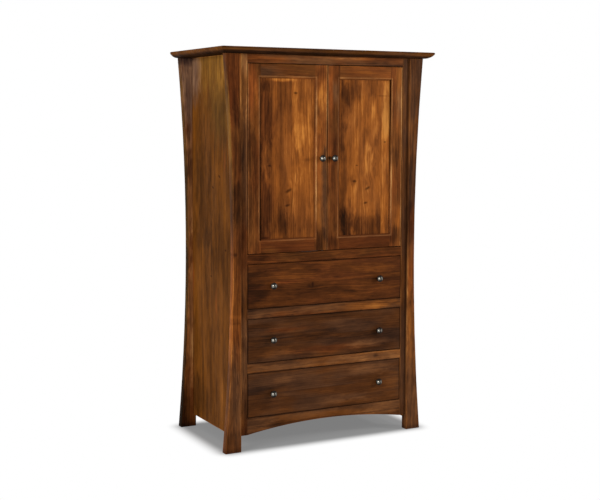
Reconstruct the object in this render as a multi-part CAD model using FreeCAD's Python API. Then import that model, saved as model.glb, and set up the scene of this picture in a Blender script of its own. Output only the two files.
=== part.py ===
import FreeCAD, Part
import math
import os

from FreeCAD import Vector

# Free-standing TV armoire in millimetres. X runs along the front to the right, Y runs from front to back,
# Z is up. The origin lies on the floor under the middle of the box that holds the whole piece.

# Overall
overall_height = 1850.0
inside_width = 896.0          # between the inner faces of the left and right posts
case_depth = 577.0            # front of the front posts to back of the back posts

# Top slab
slab_thickness = 29.0
slab_overhang_front = 45.0
slab_overhang_side = 37.0     # beyond the top of a post
slab_top_round = 7.0
slab_undercut_width = 36.0
slab_undercut_bulge = 5.5

# Posts, narrowest at the waist
post_depth = 40.0
post_foot_width = 80.0
post_waist_width = 38.0
post_top_width = 76.0
post_waist_height = 880.0
post_edge_chamfer = 4.0

# Side panels, rabbeted into the posts
side_panel_thickness = 13.0
side_panel_floor_gap = 60.0
side_panel_lap = 10.0

# Face frame
frame_setback = 10.0          # behind the front of the posts
frame_thickness = 20.0
stile_width = 34.5
top_rail_height = 40.0
door_rail_height = 44.0
drawer_rail_height = 44.0
rail_tenon_length = 12.0
tenon_thickness = 8.0
tenon_shoulder = 6.0

# Arched apron
apron_top = 152.0
apron_end_gap = 74.0          # floor to the lower ends of the stiles and of the arch
apron_rise = 35.0
apron_tenon_length = 16.0

# Inside boards
floor_thickness = 19.0
bottom_board_thickness = 12.0
cleat_size = 20.0
shelf_thickness = 19.0
component_bay_height = 222.0  # clear height between the shelf and the slab
shelf_side_clearance = 1.5
shelf_front_setback = 25.0
shelf_back_gap = 15.0

# Shelf pins and their rows of holes
pin_radius = 2.5
pin_length = 18.0
pin_hole_depth = 9.0
pin_clearance = 0.05
pin_end_inset = 60.0          # from the front and back edges of the shelf
pin_row_count = 5
pin_row_pitch = 32.0

# Back panel
back_panel_thickness = 6.0
back_panel_lap = 10.0
back_panel_floor_gap = 75.0
cable_outlet_width = 110.0
cable_outlet_offset = 210.0   # to either side, out of sight through the gap between the doors
cable_outlet_height = 60.0
cable_outlet_lift = 25.0      # above the compartment floor

# Doors
door_gap = 3.5
door_meeting_gap = 5.0
door_stile_width = 64.0
door_rail_width = 64.0
sticking_width = 8.0
sticking_depth = 7.0
panel_setback = 8.0           # behind the face of the door frame
door_panel_thickness = 8.0
panel_groove_depth = 10.0
panel_float = 1.0

# Pivot hinges at the top and bottom of each door
pivot_edge_inset = 14.0
pivot_face_inset = 7.0
pivot_pin_radius = 2.5
pivot_clearance = 0.05
pivot_end_clearance = 0.3
pivot_collar_radius = 4.2
leaf_length = 32.0
leaf_width = 10.0
leaf_thickness = 3.0
leaf_end_margin = 8.0         # from the pivot axis to the near end of the leaf

# Magnetic catches and strike plates
catch_width = 24.0
catch_height = 52.0
catch_depth = 18.0
catch_seat_height = 22.0      # the part that lies on the rail
catch_offset = 32.0           # from the middle of the armoire
catch_gap = 0.5
strike_width = 22.0
strike_height = 20.0
strike_thickness = 1.2

# Drawers
drawer_names = ("lower_drawer", "middle_drawer", "upper_drawer")
drawer_opening_height = 209.0
drawer_gap = 3.0
drawer_side_thickness = 15.0
drawer_side_lift = 8.0        # above the bottom of the opening
drawer_side_drop = 31.0       # below the top of the opening
drawer_back_clearance = 45.0  # between the sides and the back panel
drawer_front_lap = 12.0
drawer_back_thickness = 12.0
drawer_back_inset = 12.0      # from the back ends of the sides
drawer_back_dado = 5.0
drawer_bottom_thickness = 6.0
drawer_bottom_groove = 6.0
drawer_bottom_lift = 10.0     # above the lower edge of the sides
drawer_bottom_float = 0.5

# Drawer runners
runner_block_height = 50.0
runner_tongue_height = 20.0
runner_lift = 95.0            # bottom of the opening to the middle of the runner
runner_groove_depth = 6.5
runner_side_clearance = 0.5
runner_top_clearance = 0.3
runner_lower_clearance = 1.2
runner_stop_clearance = 0.5
runner_back_gap = 4.0

# Knobs
knob_base_radius = 9.5
knob_base_height = 3.0
knob_neck_radius = 6.0
knob_neck_height = 8.0        # where the neck is narrowest
knob_neck_bow = 1.2
knob_rim_radius = 15.0
knob_rim_height = 5.0
knob_rim_start = 14.0
knob_rim_bulge = 1.0
knob_button_radius = 10.5
knob_height = 26.0
door_knob_inset = 30.0        # from the meeting edge of the door
drawer_knob_inset = 125.0     # from the end of the drawer front

# Screws
knob_screw_radius = 2.0
knob_screw_reach = 9.0        # into the knob
slab_screw_radius = 2.2
slab_screw_reach = 15.0       # into the slab
slab_screw_inset = 40.0       # from the ends of the cleats
screw_head_radius = 4.0
screw_head_height = 2.6
screw_clearance = 0.05
knob_hole_clearance = 0.25

# Planes worked out from the sizes above
slab_depth = slab_overhang_front + case_depth
slab_front = -slab_depth / 2
case_back = slab_depth / 2
front_post_front = slab_front + slab_overhang_front
front_post_back = front_post_front + post_depth
back_post_front = case_back - post_depth
back_panel_front = case_back - back_panel_thickness
frame_front = front_post_front + frame_setback
frame_back = frame_front + frame_thickness
half_inside = inside_width / 2
half_opening = half_inside - stile_width
half_slab = half_inside + post_top_width + slab_overhang_side
case_top = overall_height - slab_thickness

# Openings of the face frame, from the floor up
drawer_pitch = drawer_opening_height + drawer_rail_height
drawer_bottoms = [apron_top + drawer_pitch * place for place in range(len(drawer_names))]
door_rail_bottom = drawer_bottoms[-1] + drawer_opening_height
door_opening_bottom = door_rail_bottom + door_rail_height
door_opening_top = case_top - top_rail_height

# Tenons lie in the middle of the face frame's thickness
tenon_span = (
    frame_front + (frame_thickness - tenon_thickness) / 2,
    frame_front + (frame_thickness + tenon_thickness) / 2,
)

# Door edges of the right-hand door
door_hinge_edge = half_opening - door_gap
door_meeting_edge = door_meeting_gap / 2
door_bottom = door_opening_bottom + door_gap
door_top = door_opening_top - door_gap
pivot_x = door_hinge_edge - pivot_edge_inset
pivot_y = frame_front + pivot_face_inset

# Drawer widths
half_drawer = half_opening - drawer_gap
half_drawer_inside = half_drawer - drawer_side_thickness

nodes = {}


def box(x_span, y_span, z_span):
    """A box from its low and high edges along each axis."""
    low = Vector(x_span[0], y_span[0], z_span[0])
    return Part.makeBox(x_span[1] - x_span[0], y_span[1] - y_span[0], z_span[1] - z_span[0], low)


def centred(half):
    """The span of a width that is centred on the armoire."""
    return (-half, half)


def mirrored(shape):
    """The left-hand twin of a right-hand piece."""
    return shape.mirror(Vector(0, 0, 0), Vector(1, 0, 0))


def line(start, end):
    return Part.LineSegment(start, end).toShape()


def arc(start, middle, end):
    return Part.Arc(start, middle, end).toShape()


def bowed_middle(start, end, bow):
    """The middle of an arc between two flat points that bows to the left of the way from start to end."""
    across = end[0] - start[0]
    up = end[1] - start[1]
    chord = math.hypot(across, up)
    return ((start[0] + end[0]) / 2 - bow * up / chord, (start[1] + end[1]) / 2 + bow * across / chord)


def keep(name, *solids):
    """Store the solids of one named piece, or of one group of like pieces."""
    nodes[name] = list(solids)


def keep_pair(name, right):
    """Store a right-hand piece and its mirrored twin as two named pieces."""
    keep("right_" + name, right)
    keep("left_" + name, mirrored(right))


def screw(head_seat, direction, shank_radius, length):
    """A screw whose head lies on head_seat and whose shank runs along direction."""
    head = Part.makeCylinder(screw_head_radius, screw_head_height, head_seat, direction * -1)
    shank = Part.makeCylinder(shank_radius, length, head_seat, direction)
    return head.fuse(shank).removeSplitter()


# Top slab

def slab_edge(point):
    """The moulded edge from the underside to the top, where point places an inset and a drop."""
    under = (slab_undercut_width, slab_thickness)
    tip = (0, slab_top_round)
    top = (slab_top_round, 0)
    round_middle = slab_top_round * (1 - math.sqrt(0.5))
    undercut = arc(point(*under), point(*bowed_middle(tip, under, slab_undercut_bulge)), point(*tip))
    top_round = arc(point(*tip), point(round_middle, round_middle), point(*top))
    return [undercut, top_round], point(*under), point(*top)


def top_slab():
    """Two moulded bars crossed, so that the moulding meets in mitres at the front corners."""

    def at_right(inset, drop):
        return Vector(half_slab - inset, slab_front, overall_height - drop)

    def at_left(inset, drop):
        return Vector(inset - half_slab, slab_front, overall_height - drop)

    def at_front(inset, drop):
        return Vector(-half_slab, slab_front + inset, overall_height - drop)

    right_edges, right_under, right_top = slab_edge(at_right)
    left_edges, left_under, left_top = slab_edge(at_left)
    across = right_edges + [line(right_top, left_top)] + left_edges[::-1] + [line(left_under, right_under)]
    bar_across = Part.Face(Part.Wire(across)).extrude(Vector(0, slab_depth, 0))

    front_edges, front_under, front_top = slab_edge(at_front)
    back_top = Vector(-half_slab, case_back, overall_height)
    back_under = Vector(-half_slab, case_back, case_top)
    back_edges = [line(front_top, back_top), line(back_top, back_under), line(back_under, front_under)]
    bar_along = Part.Face(Part.Wire(front_edges + back_edges)).extrude(Vector(2 * half_slab, 0, 0))

    slab = bar_across.common(bar_along)
    for place in slab_screw_places():
        pilot = Part.makeCylinder(
            slab_screw_radius + screw_clearance,
            slab_screw_reach + screw_clearance,
            Vector(place.x, place.y, case_top),
        )
        slab = slab.cut(pilot)
    keep("top_slab", slab.Solids[0])


def slab_screw_places():
    """Three screws up through each of the two top cleats."""
    rows = (
        frame_back + slab_screw_inset,
        (frame_back + back_panel_front) / 2,
        back_panel_front - slab_screw_inset,
    )
    across = half_inside - cleat_size / 2
    return [Vector(side * across, row, case_top - cleat_size) for side in (-1, 1) for row in rows]


def slab_screws():
    length = cleat_size + slab_screw_reach
    keep("slab_screws", *[
        screw(place, Vector(0, 0, 1), slab_screw_radius, length) for place in slab_screw_places()
    ])


# Posts and side panels

def hourglass_post(front):
    """A right-hand post with a straight inner edge and a hollow outer edge."""
    foot = Vector(half_inside + post_foot_width, front, 0)
    waist = Vector(half_inside + post_waist_width, front, post_waist_height)
    top = Vector(half_inside + post_top_width, front, case_top)
    inner_top = Vector(half_inside, front, case_top)
    inner_foot = Vector(half_inside, front, 0)
    outline = Part.Wire([
        arc(foot, waist, top),
        line(top, inner_top),
        line(inner_top, inner_foot),
        line(inner_foot, foot),
    ])
    post = Part.Face(outline).extrude(Vector(0, post_depth, 0))
    outer_edges = [edge for edge in post.Edges if isinstance(edge.Curve, Part.Circle)]
    return post.makeChamfer(post_edge_chamfer, outer_edges)


side_panel_x = (half_inside, half_inside + side_panel_thickness)
side_panel_y = (front_post_back - side_panel_lap, back_post_front + side_panel_lap)
side_panel_z = (side_panel_floor_gap, case_top)
back_panel_half = half_inside + back_panel_lap
back_panel_z = (back_panel_floor_gap, case_top)


def posts():
    side_rabbet = box(side_panel_x, side_panel_y, side_panel_z)
    back_rabbet = box((half_inside, back_panel_half), (back_panel_front, case_back), back_panel_z)
    front_post = hourglass_post(front_post_front).cut(side_rabbet)
    back_post = hourglass_post(back_post_front).cut(side_rabbet).cut(back_rabbet)
    keep_pair("front_post", front_post)
    keep_pair("back_post", back_post)


def side_panels():
    panel = box(side_panel_x, side_panel_y, side_panel_z)
    for row in shelf_pin_rows():
        for step in range(pin_row_count):
            height = shelf_pin_height + (step - pin_row_count // 2) * pin_row_pitch
            hole = Part.makeCylinder(
                pin_radius + pin_clearance,
                pin_hole_depth,
                Vector(half_inside, row, height),
                Vector(1, 0, 0),
            )
            panel = panel.cut(hole)
    keep_pair("side_panel", panel)


# Face frame

def rail_tenon(z_span):
    """The right-hand tenon of a rail that spans z_span."""
    x_span = (half_opening, half_opening + rail_tenon_length)
    return box(x_span, tenon_span, (z_span[0] + tenon_shoulder, z_span[1] - tenon_shoulder))


def rail_spans():
    """Each rail of the face frame with its lower and upper edge."""
    spans = {
        "top_rail": (door_opening_top, case_top),
        "door_rail": (door_rail_bottom, door_opening_bottom),
    }
    for name, bottom in zip(("lower_drawer_rail", "upper_drawer_rail"), drawer_bottoms[1:]):
        spans[name] = (bottom - drawer_rail_height, bottom)
    return spans


def face_frame():
    stile_z = (apron_end_gap, case_top)
    stile = box((half_opening, half_inside), (frame_front, frame_back), stile_z).cut(apron_tenon())
    for name, z_span in rail_spans().items():
        tenon = rail_tenon(z_span)
        stile = stile.cut(tenon)
        rail = box(centred(half_opening), (frame_front, frame_back), z_span)
        rail = rail.fuse([tenon, mirrored(tenon)]).removeSplitter()
        for pocket in case_leaf_pockets():
            rail = rail.cut(pocket)
        keep("face_frame_" + name, rail)
    keep_pair("face_frame_stile", stile)


def apron_tenon():
    """The right-hand tenon of the apron, let into a stile of the face frame."""
    x_span = (half_opening, half_opening + apron_tenon_length)
    return box(x_span, tenon_span, (apron_end_gap + tenon_shoulder, apron_top - tenon_shoulder))


def arched_apron():
    """The lowest rail of the face frame, arched between the feet of the stiles."""
    left = Vector(-half_opening, frame_front, apron_end_gap)
    crown = Vector(0, frame_front, apron_end_gap + apron_rise)
    right = Vector(half_opening, frame_front, apron_end_gap)
    upper_right = Vector(half_opening, frame_front, apron_top)
    upper_left = Vector(-half_opening, frame_front, apron_top)
    outline = Part.Wire([
        arc(left, crown, right),
        line(right, upper_right),
        line(upper_right, upper_left),
        line(upper_left, left),
    ])
    apron = Part.Face(outline).extrude(Vector(0, frame_thickness, 0))
    tenon = apron_tenon()
    keep("arched_apron", apron.fuse([tenon, mirrored(tenon)]).removeSplitter())


# Inside boards

floor_z = (door_opening_bottom - floor_thickness, door_opening_bottom)
bottom_board_z = (apron_top - bottom_board_thickness, apron_top)
inside_y = (frame_back, back_panel_front)
shelf_y = (frame_back + shelf_front_setback, back_panel_front - shelf_back_gap)
shelf_top = case_top - component_bay_height
shelf_bottom = shelf_top - shelf_thickness
shelf_pin_height = shelf_bottom - pin_radius


def shelf_pin_rows():
    return (shelf_y[0] + pin_end_inset, shelf_y[1] - pin_end_inset)


def inside_boards():
    keep("compartment_floor", box(centred(half_inside), inside_y, floor_z))
    keep("bottom_board", box(centred(half_inside), inside_y, bottom_board_z))
    shelf_half = half_inside - shelf_side_clearance
    keep("component_shelf", box(centred(shelf_half), shelf_y, (shelf_bottom, shelf_top)))


def shelf_pins():
    pins = []
    for row in shelf_pin_rows():
        inner_end = Vector(half_inside + pin_hole_depth - pin_length, row, shelf_pin_height)
        pin = Part.makeCylinder(pin_radius, pin_length, inner_end, Vector(1, 0, 0))
        pins += [pin, mirrored(pin)]
    keep("shelf_pins", *pins)


def support_cleats():
    """Strips on the side panels that carry the floor and the bottom board and hold the slab."""
    cleats = []
    for upper in (case_top, floor_z[0], bottom_board_z[0]):
        cleat = box((half_inside - cleat_size, half_inside), inside_y, (upper - cleat_size, upper))
        cleats += [cleat, mirrored(cleat)]
    for place in slab_screw_places():
        bore = Part.makeCylinder(slab_screw_radius + screw_clearance, cleat_size, place)
        cleats = [cleat.cut(bore) for cleat in cleats]
    keep("support_cleats", *cleats)


def back_panel():
    panel = box(centred(back_panel_half), (back_panel_front, case_back), back_panel_z)
    outlet_bottom = door_opening_bottom + cable_outlet_lift
    outlet_z = (outlet_bottom, outlet_bottom + cable_outlet_height)
    outlet_x = (cable_outlet_offset - cable_outlet_width / 2, cable_outlet_offset + cable_outlet_width / 2)
    outlet = box(outlet_x, (back_panel_front, case_back), outlet_z)
    keep("back_panel", panel.cut([outlet, mirrored(outlet)]))


# Knobs

def knob(x, z):
    """A turned knob on the face of a door or drawer: base, neck, rim and raised button."""

    def at(radius, reach):
        return Vector(radius, -reach, 0)

    def turned_arc(start, end, bow):
        return arc(at(*start), at(*bowed_middle(start, end, bow)), at(*end))

    def turned_line(start, end):
        return line(at(*start), at(*end))

    bore_radius = knob_screw_radius + screw_clearance
    bore_end = knob_screw_reach + screw_clearance
    rim_front = knob_rim_start + knob_rim_height
    dome_height = knob_height - rim_front
    dome_radius = (knob_button_radius ** 2 + dome_height ** 2) / (2 * dome_height)
    dome_chord = math.hypot(knob_button_radius, dome_height)
    dome_bow = dome_radius - math.sqrt(dome_radius ** 2 - (dome_chord / 2) ** 2)
    base_back = (knob_base_radius, 0)
    base_front = (knob_base_radius, knob_base_height)
    neck = (knob_neck_radius, knob_neck_height)
    rim_back = (knob_rim_radius, knob_rim_start)
    rim_edge = (knob_rim_radius, rim_front)
    button_edge = (knob_button_radius, rim_front)
    outline = Part.Wire([
        turned_line((bore_radius, 0), base_back),
        turned_line(base_back, base_front),
        turned_arc(base_front, neck, knob_neck_bow),
        turned_arc(neck, rim_back, knob_neck_bow),
        turned_arc(rim_back, rim_edge, -knob_rim_bulge),
        turned_line(rim_edge, button_edge),
        turned_arc(button_edge, (0, knob_height), -dome_bow),
        turned_line((0, knob_height), (0, bore_end)),
        turned_line((0, bore_end), (bore_radius, bore_end)),
        turned_line((bore_radius, bore_end), (bore_radius, 0)),
    ])
    turned = Part.Face(outline).revolve(Vector(0, 0, 0), Vector(0, 1, 0), 360)
    turned.translate(Vector(x, frame_front, z))
    return turned


def knob_hole(x, z):
    """The hole through a door stile or drawer front for a knob's screw."""
    radius = knob_screw_radius + knob_hole_clearance
    return Part.makeCylinder(radius, frame_thickness, Vector(x, frame_front, z), Vector(0, 1, 0))


def knob_screw(x, z):
    length = frame_thickness + knob_screw_reach
    return screw(Vector(x, frame_back, z), Vector(0, -1, 0), knob_screw_radius, length)


# Pivot hinges

leaf_x = (pivot_x + leaf_end_margin - leaf_length, pivot_x + leaf_end_margin)
leaf_y = (pivot_y - leaf_width / 2, pivot_y + leaf_width / 2)
case_leaf_spans = (
    (door_opening_bottom - leaf_thickness, door_opening_bottom),
    (door_opening_top, door_opening_top + leaf_thickness),
)
door_leaf_spans = (
    (door_bottom, door_bottom + leaf_thickness),
    (door_top - leaf_thickness, door_top),
)


def case_leaf_pockets():
    """Pockets for the case leaves in the rails above and below the doors."""
    right = [box(leaf_x, leaf_y, span) for span in case_leaf_spans]
    return right + [mirrored(pocket) for pocket in right]


def case_leaves():
    """Leaves in the rails, each with the pin and collar that a door turns on."""
    pin_length = door_gap + leaf_thickness - pivot_end_clearance
    collar_height = door_gap - pivot_end_clearance
    leaves = []
    for span, seat, way in zip(case_leaf_spans, (door_opening_bottom, door_opening_top), (1, -1)):
        seat_point = Vector(pivot_x, pivot_y, seat)
        pin = Part.makeCylinder(pivot_pin_radius, pin_length, seat_point, Vector(0, 0, way))
        collar = Part.makeCylinder(pivot_collar_radius, collar_height, seat_point, Vector(0, 0, way))
        leaf = box(leaf_x, leaf_y, span).fuse([pin, collar]).removeSplitter()
        leaves += [leaf, mirrored(leaf)]
    keep("pivot_case_leaves", *leaves)


def door_leaves():
    """Right-hand door leaves, each bored for its pin."""
    leaves = []
    for span in door_leaf_spans:
        bore = Part.makeCylinder(
            pivot_pin_radius + pivot_clearance,
            leaf_thickness,
            Vector(pivot_x, pivot_y, span[0]),
        )
        leaves.append(box(leaf_x, leaf_y, span).cut(bore))
    return leaves


# Catches

catch_x = (catch_offset - catch_width / 2, catch_offset + catch_width / 2)
catch_top = door_opening_top + catch_seat_height


def magnetic_catches():
    """Housings on the back of the top rail, set back below it to clear the strike plates."""
    z_span = (catch_top - catch_height, catch_top)
    housing = box(catch_x, (frame_back, frame_back + catch_depth), z_span)
    relief_y = (frame_back, frame_back + strike_thickness + catch_gap)
    housing = housing.cut(box(catch_x, relief_y, (z_span[0], door_opening_top)))
    keep("magnetic_catches", housing, mirrored(housing))


def strike_plate():
    middle = (door_top + catch_top - catch_height) / 2
    return box(
        (catch_offset - strike_width / 2, catch_offset + strike_width / 2),
        (frame_back, frame_back + strike_thickness),
        (middle - strike_height / 2, middle + strike_height / 2),
    )


# Doors

def doors():
    """Frame-and-panel doors, set flush in the face frame."""
    door_y = (frame_front, frame_back)
    door_z = (door_bottom, door_top)
    panel_y = (frame_front + panel_setback, frame_front + panel_setback + door_panel_thickness)
    sight_x = (door_meeting_edge + door_stile_width, door_hinge_edge - door_stile_width)
    sight_z = (door_bottom + door_rail_width, door_top - door_rail_width)
    groove_x = (sight_x[0] - panel_groove_depth, sight_x[1] + panel_groove_depth)
    groove_z = (sight_z[0] - panel_groove_depth, sight_z[1] + panel_groove_depth)
    stile_groove = box(groove_x, panel_y, door_z)
    rail_groove = box(groove_x, panel_y, groove_z)
    bevel = sticking(sight_x, sight_z)
    knob_x = door_meeting_edge + door_knob_inset
    knob_z = (door_bottom + door_top) / 2

    hinge_stile = box((sight_x[1], door_hinge_edge), door_y, door_z).cut([stile_groove, bevel])
    for span in door_leaf_spans:
        hinge_stile = hinge_stile.cut(box(leaf_x, leaf_y, span))
    keep_pair("door_hinge_stile", hinge_stile)

    meeting_stile = box((door_meeting_edge, sight_x[0]), door_y, door_z).cut([stile_groove, bevel])
    keep_pair("door_meeting_stile", meeting_stile.cut(knob_hole(knob_x, knob_z)))

    for name, z_span in (("top", (sight_z[1], door_top)), ("bottom", (door_bottom, sight_z[0]))):
        rail = box(sight_x, door_y, z_span).fuse(box(groove_x, panel_y, z_span)).removeSplitter()
        keep_pair("door_" + name + "_rail", rail.cut([rail_groove, bevel]))

    keep_pair("door_panel", box(
        (groove_x[0] + panel_float, groove_x[1] - panel_float),
        panel_y,
        (groove_z[0] + panel_float, groove_z[1] - panel_float),
    ))
    keep_pair("door_knob", knob(knob_x, knob_z))
    keep_pair("door_knob_screw", knob_screw(knob_x, knob_z))
    keep_pair("door_strike_plate", strike_plate())
    leaves = door_leaves()
    keep("right_door_pivot_leaves", *leaves)
    keep("left_door_pivot_leaves", *[mirrored(leaf) for leaf in leaves])


def sticking(sight_x, sight_z):
    """The wedge-sided space that bevels the inner front edges of a door frame."""

    def rectangle(margin, y):
        corners = [
            Vector(sight_x[0] - margin, y, sight_z[0] - margin),
            Vector(sight_x[1] + margin, y, sight_z[0] - margin),
            Vector(sight_x[1] + margin, y, sight_z[1] + margin),
            Vector(sight_x[0] - margin, y, sight_z[1] + margin),
        ]
        return Part.makePolygon(corners + corners[:1])

    face_rectangle = rectangle(sticking_width, frame_front)
    deep_rectangle = rectangle(0, frame_front + sticking_depth)
    return Part.makeLoft([face_rectangle, deep_rectangle], True, True)


# Drawers and runners

def drawer_runners():
    """Hardwood runners behind the stiles, with a tongue that the drawer sides hang on."""
    block_y = (frame_back, back_panel_front - runner_back_gap)
    tongue_y = (frame_back + runner_stop_clearance, block_y[1])
    tongue_x = (half_drawer - runner_groove_depth + runner_side_clearance, half_opening)
    runners = []
    for bottom in drawer_bottoms:
        middle = bottom + runner_lift
        block_z = (middle - runner_block_height / 2, middle + runner_block_height / 2)
        tongue_z = (middle - runner_tongue_height / 2, middle + runner_tongue_height / 2)
        block = box((half_opening, half_inside), block_y, block_z)
        runner = block.fuse(box(tongue_x, tongue_y, tongue_z)).removeSplitter()
        runners += [runner, mirrored(runner)]
    keep("drawer_runners", *runners)


def drawer(name, opening_bottom):
    """One drawer: a flush front lapped over the sides, with the back and bottom let into them."""
    front_z = (opening_bottom + drawer_gap, opening_bottom + drawer_opening_height - drawer_gap)
    side_bottom = opening_bottom + drawer_side_lift
    side_z = (side_bottom, opening_bottom + drawer_opening_height - drawer_side_drop)
    side_x = (half_drawer_inside, half_drawer)
    side_end = back_panel_front - drawer_back_clearance
    back_y = (side_end - drawer_back_inset - drawer_back_thickness, side_end - drawer_back_inset)
    panel_bottom = side_bottom + drawer_bottom_lift
    panel_z = (panel_bottom, panel_bottom + drawer_bottom_thickness)
    groove_half = half_drawer_inside + drawer_bottom_groove
    groove_front = frame_back - drawer_bottom_groove
    bottom_groove = box(centred(groove_half), (groove_front, side_end), panel_z)
    back_board = box(centred(half_drawer_inside + drawer_back_dado), back_y, (panel_z[1], side_z[1]))

    runner_middle = opening_bottom + runner_lift
    runner_groove = box(
        (half_drawer - runner_groove_depth, half_drawer),
        (frame_back, side_end),
        (
            runner_middle - runner_tongue_height / 2 - runner_lower_clearance,
            runner_middle + runner_tongue_height / 2 + runner_top_clearance,
        ),
    )
    side = box(side_x, (frame_back - drawer_front_lap, side_end), side_z)
    front = box(centred(half_drawer), (frame_front, frame_back), front_z)
    front = front.cut([side, mirrored(side), bottom_groove])
    side = side.cut([runner_groove, bottom_groove, back_board])

    knob_half = half_drawer - drawer_knob_inset
    knob_z = (front_z[0] + front_z[1]) / 2
    knob_places = (-knob_half, knob_half)
    for place in knob_places:
        front = front.cut(knob_hole(place, knob_z))

    keep(name + "_front", front)
    keep(name + "_sides", side, mirrored(side))
    keep(name + "_back", back_board)
    keep(name + "_bottom", box(
        centred(groove_half - drawer_bottom_float),
        (groove_front + drawer_bottom_float, back_y[1]),
        panel_z,
    ))
    keep(name + "_knobs", *[knob(place, knob_z) for place in knob_places])
    keep(name + "_knob_screws", *[knob_screw(place, knob_z) for place in knob_places])


def export():
    """Write each named piece to its own file."""
    os.makedirs("parts", exist_ok=True)
    for name, solids in nodes.items():
        shape = solids[0] if len(solids) == 1 else Part.makeCompound(solids)
        shape.exportStep("parts/" + name + ".step")
    print(len(nodes), "pieces or groups,", sum(len(solids) for solids in nodes.values()), "solids")


top_slab()
slab_screws()
posts()
side_panels()
face_frame()
arched_apron()
inside_boards()
shelf_pins()
support_cleats()
back_panel()
case_leaves()
magnetic_catches()
doors()
drawer_runners()
for drawer_name, drawer_bottom in zip(drawer_names, drawer_bottoms):
    drawer(drawer_name, drawer_bottom)
export()
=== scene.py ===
import math
from collections import namedtuple

import bpy
from mathutils import Matrix, Vector


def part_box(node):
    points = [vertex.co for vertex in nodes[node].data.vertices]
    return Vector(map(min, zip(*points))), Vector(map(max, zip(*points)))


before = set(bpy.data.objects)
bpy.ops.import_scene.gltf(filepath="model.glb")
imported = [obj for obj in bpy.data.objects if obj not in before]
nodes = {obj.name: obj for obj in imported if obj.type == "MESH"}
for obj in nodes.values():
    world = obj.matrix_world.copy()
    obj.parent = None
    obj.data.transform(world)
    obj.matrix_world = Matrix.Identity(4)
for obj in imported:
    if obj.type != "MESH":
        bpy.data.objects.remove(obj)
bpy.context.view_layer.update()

# Lengths are in metres and tones run from 0, the darkest stain, to 1, the brightest.

# Camera, fitted to the photograph
image_width_pixels = 600
focal_length_pixels = 1188.8
view_shift_pixels = -29.3
camera_sensor_mm = 36.0
camera_place = Vector((-2.704, -5.129, 1.5395))
camera_yaw = -0.4838
camera_pitch = math.radians(-5.0)    # a little down, for room above the slab in other views
camera_roll = 0.0039

# Light
ambient_strength = 0.34
key_place = Vector((3.8, -3.0, 2.2))
key_power = 100.0
key_size = 0.6
fill_place = Vector((-4.6, -2.2, 2.2))
fill_power = 125.0
fill_size = 1.6
overhead_place = Vector((0.0, 0.3, 4.6))
overhead_power = 80.0
overhead_size = 3.0
light_target = Vector((0.0, 0.0, 0.9))

# Floor
floor_size = 60.0
shadow_inset = 0.030          # the shadow starts to fade this far inside the feet
shadow_outset = 0.075         # and is gone this far outside them
shadow_glow = 0.20            # light that the floor keeps in the shadow
floor_grey = 0.8
# inside the feet the floor's own colour is darkened: a painted shadow on top of the real one
shaded_floor_grey = 0.18
floor_roughness = 0.9

# Edges
fine_edge = 0.0006
board_edge = 0.0012
post_edge = 0.0022
edge_segments = 3
edge_angle = math.radians(30)
flat_angle = math.radians(0.5)    # facets that meet at less than this become one face
weld_distance = 0.00002

# Pale and dark bands along the edges: painted highlights on lit edges, partly wear, and painted shade in
# the gaps. A stretch is one over the length of a feature, on each axis.
edge_band_width = 0.0035
ragged_width = 0.0030
ragged_stretch = (130.0, 130.0, 130.0)
edge_patch_stretch = (5.0, 5.0, 5.0)
edge_patch_range = (0.20, 0.60)   # noise at which an edge band starts to show, and shows fully

# Doors and posts
panel_hidden_edge = 0.009     # the edge of a door panel that lies in its groove
sticking_width = 0.008
sight_width = 0.009           # the darkened border of a door panel next to its frame
sight_change = -0.05
post_waist_width = 0.038
post_waist_height = 0.880

# Boards
board_jump = 9.0              # how far apart the figures of two boards may be taken
grain_sway = 0.06
pith_depth = 0.09
rings_per_metre = 130.0
ring_taper = 0.03
late_wood_sharpness = 2.5
seam_core = 0.0002
seam_width = 0.0012
seam_change = -0.12
seed_step = 1.37
fibre_roughness = 0.25

# Marks and knots
wobble_stretch = (38.0, 38.0, 12.0)
wobble_size = 1.3             # how ragged a mark is, as a share of its size
mark_core = 0.15              # share of a mark's size that has its full change
side_facing = (0.6, 0.9)      # how far a face turns sideways where side marks start, and are full
knot_squat = 2.0              # a knot is this many times as wide as it is long
knot_wobble = 0.6             # share of the marks' wobble that knots have
knot_reach = (0.4, 0.2, 0.0)  # the grain bends within 1 / reach knot sizes, across and along
knot_pull = -0.7
knot_core = (0.20, 1.30)      # shares of a knot's size where its dark middle starts to fade, and is gone
knot_strength = 0.72

# Bumps, as strength and depth
fibre_bump = (0.25, 0.0004)
metal_bump = (0.1, 0.0003)
pebble_bump = (0.2, 0.0002)

# Plastic of the catches
pebble_stretch = (1500.0, 1500.0, 1500.0)
plastic_roughness = 0.4
plastic_roughness_change = 0.2

# Where a knob is rubbed bright, which also paints its two highlights, as shares of its radius
rub_sideways = (0.08, 0.34)
rub_upward = (0.10, 0.62)
rub_crown = (0.64, 0.90)

# Grain directions, as the axes across the board, through it and along it
UPRIGHT = ("X", "Y", "Z")
UPRIGHT_SIDE = ("Y", "X", "Z")
LEVEL_FRONT = ("Z", "Y", "X")
LEVEL_FLAT = ("Y", "Z", "X")
FRONT_TO_BACK = ("Z", "X", "Y")

# A soft mark on a board changes its tone, and its tint where one is given. One with side set
# shows only on faces that look to the left or right.
Mark = namedtuple("Mark", "across along half_width half_length change tint side", defaults=(None, False))
Knot = namedtuple("Knot", "across along size lean", defaults=(0.0,))

# Darkening low on a piece, full at bottom and gone at top: stain that collected at the feet of the
# posts, and painted shade on the undercut of the slab's edge
PooledStainAndShade = namedtuple("PooledStainAndShade", "bottom top change")
FOOT_STAIN = PooledStainAndShade(0.003, 0.030, -0.14)
SLAB_UNDERCUT_SHADE = PooledStainAndShade(1.825, 1.838, -0.38)

# The width of the boards that a piece is glued up from, and where the first one starts
Boards = namedtuple("Boards", "width start")
ONE_BOARD = Boards(2.0, -1.0)


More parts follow.
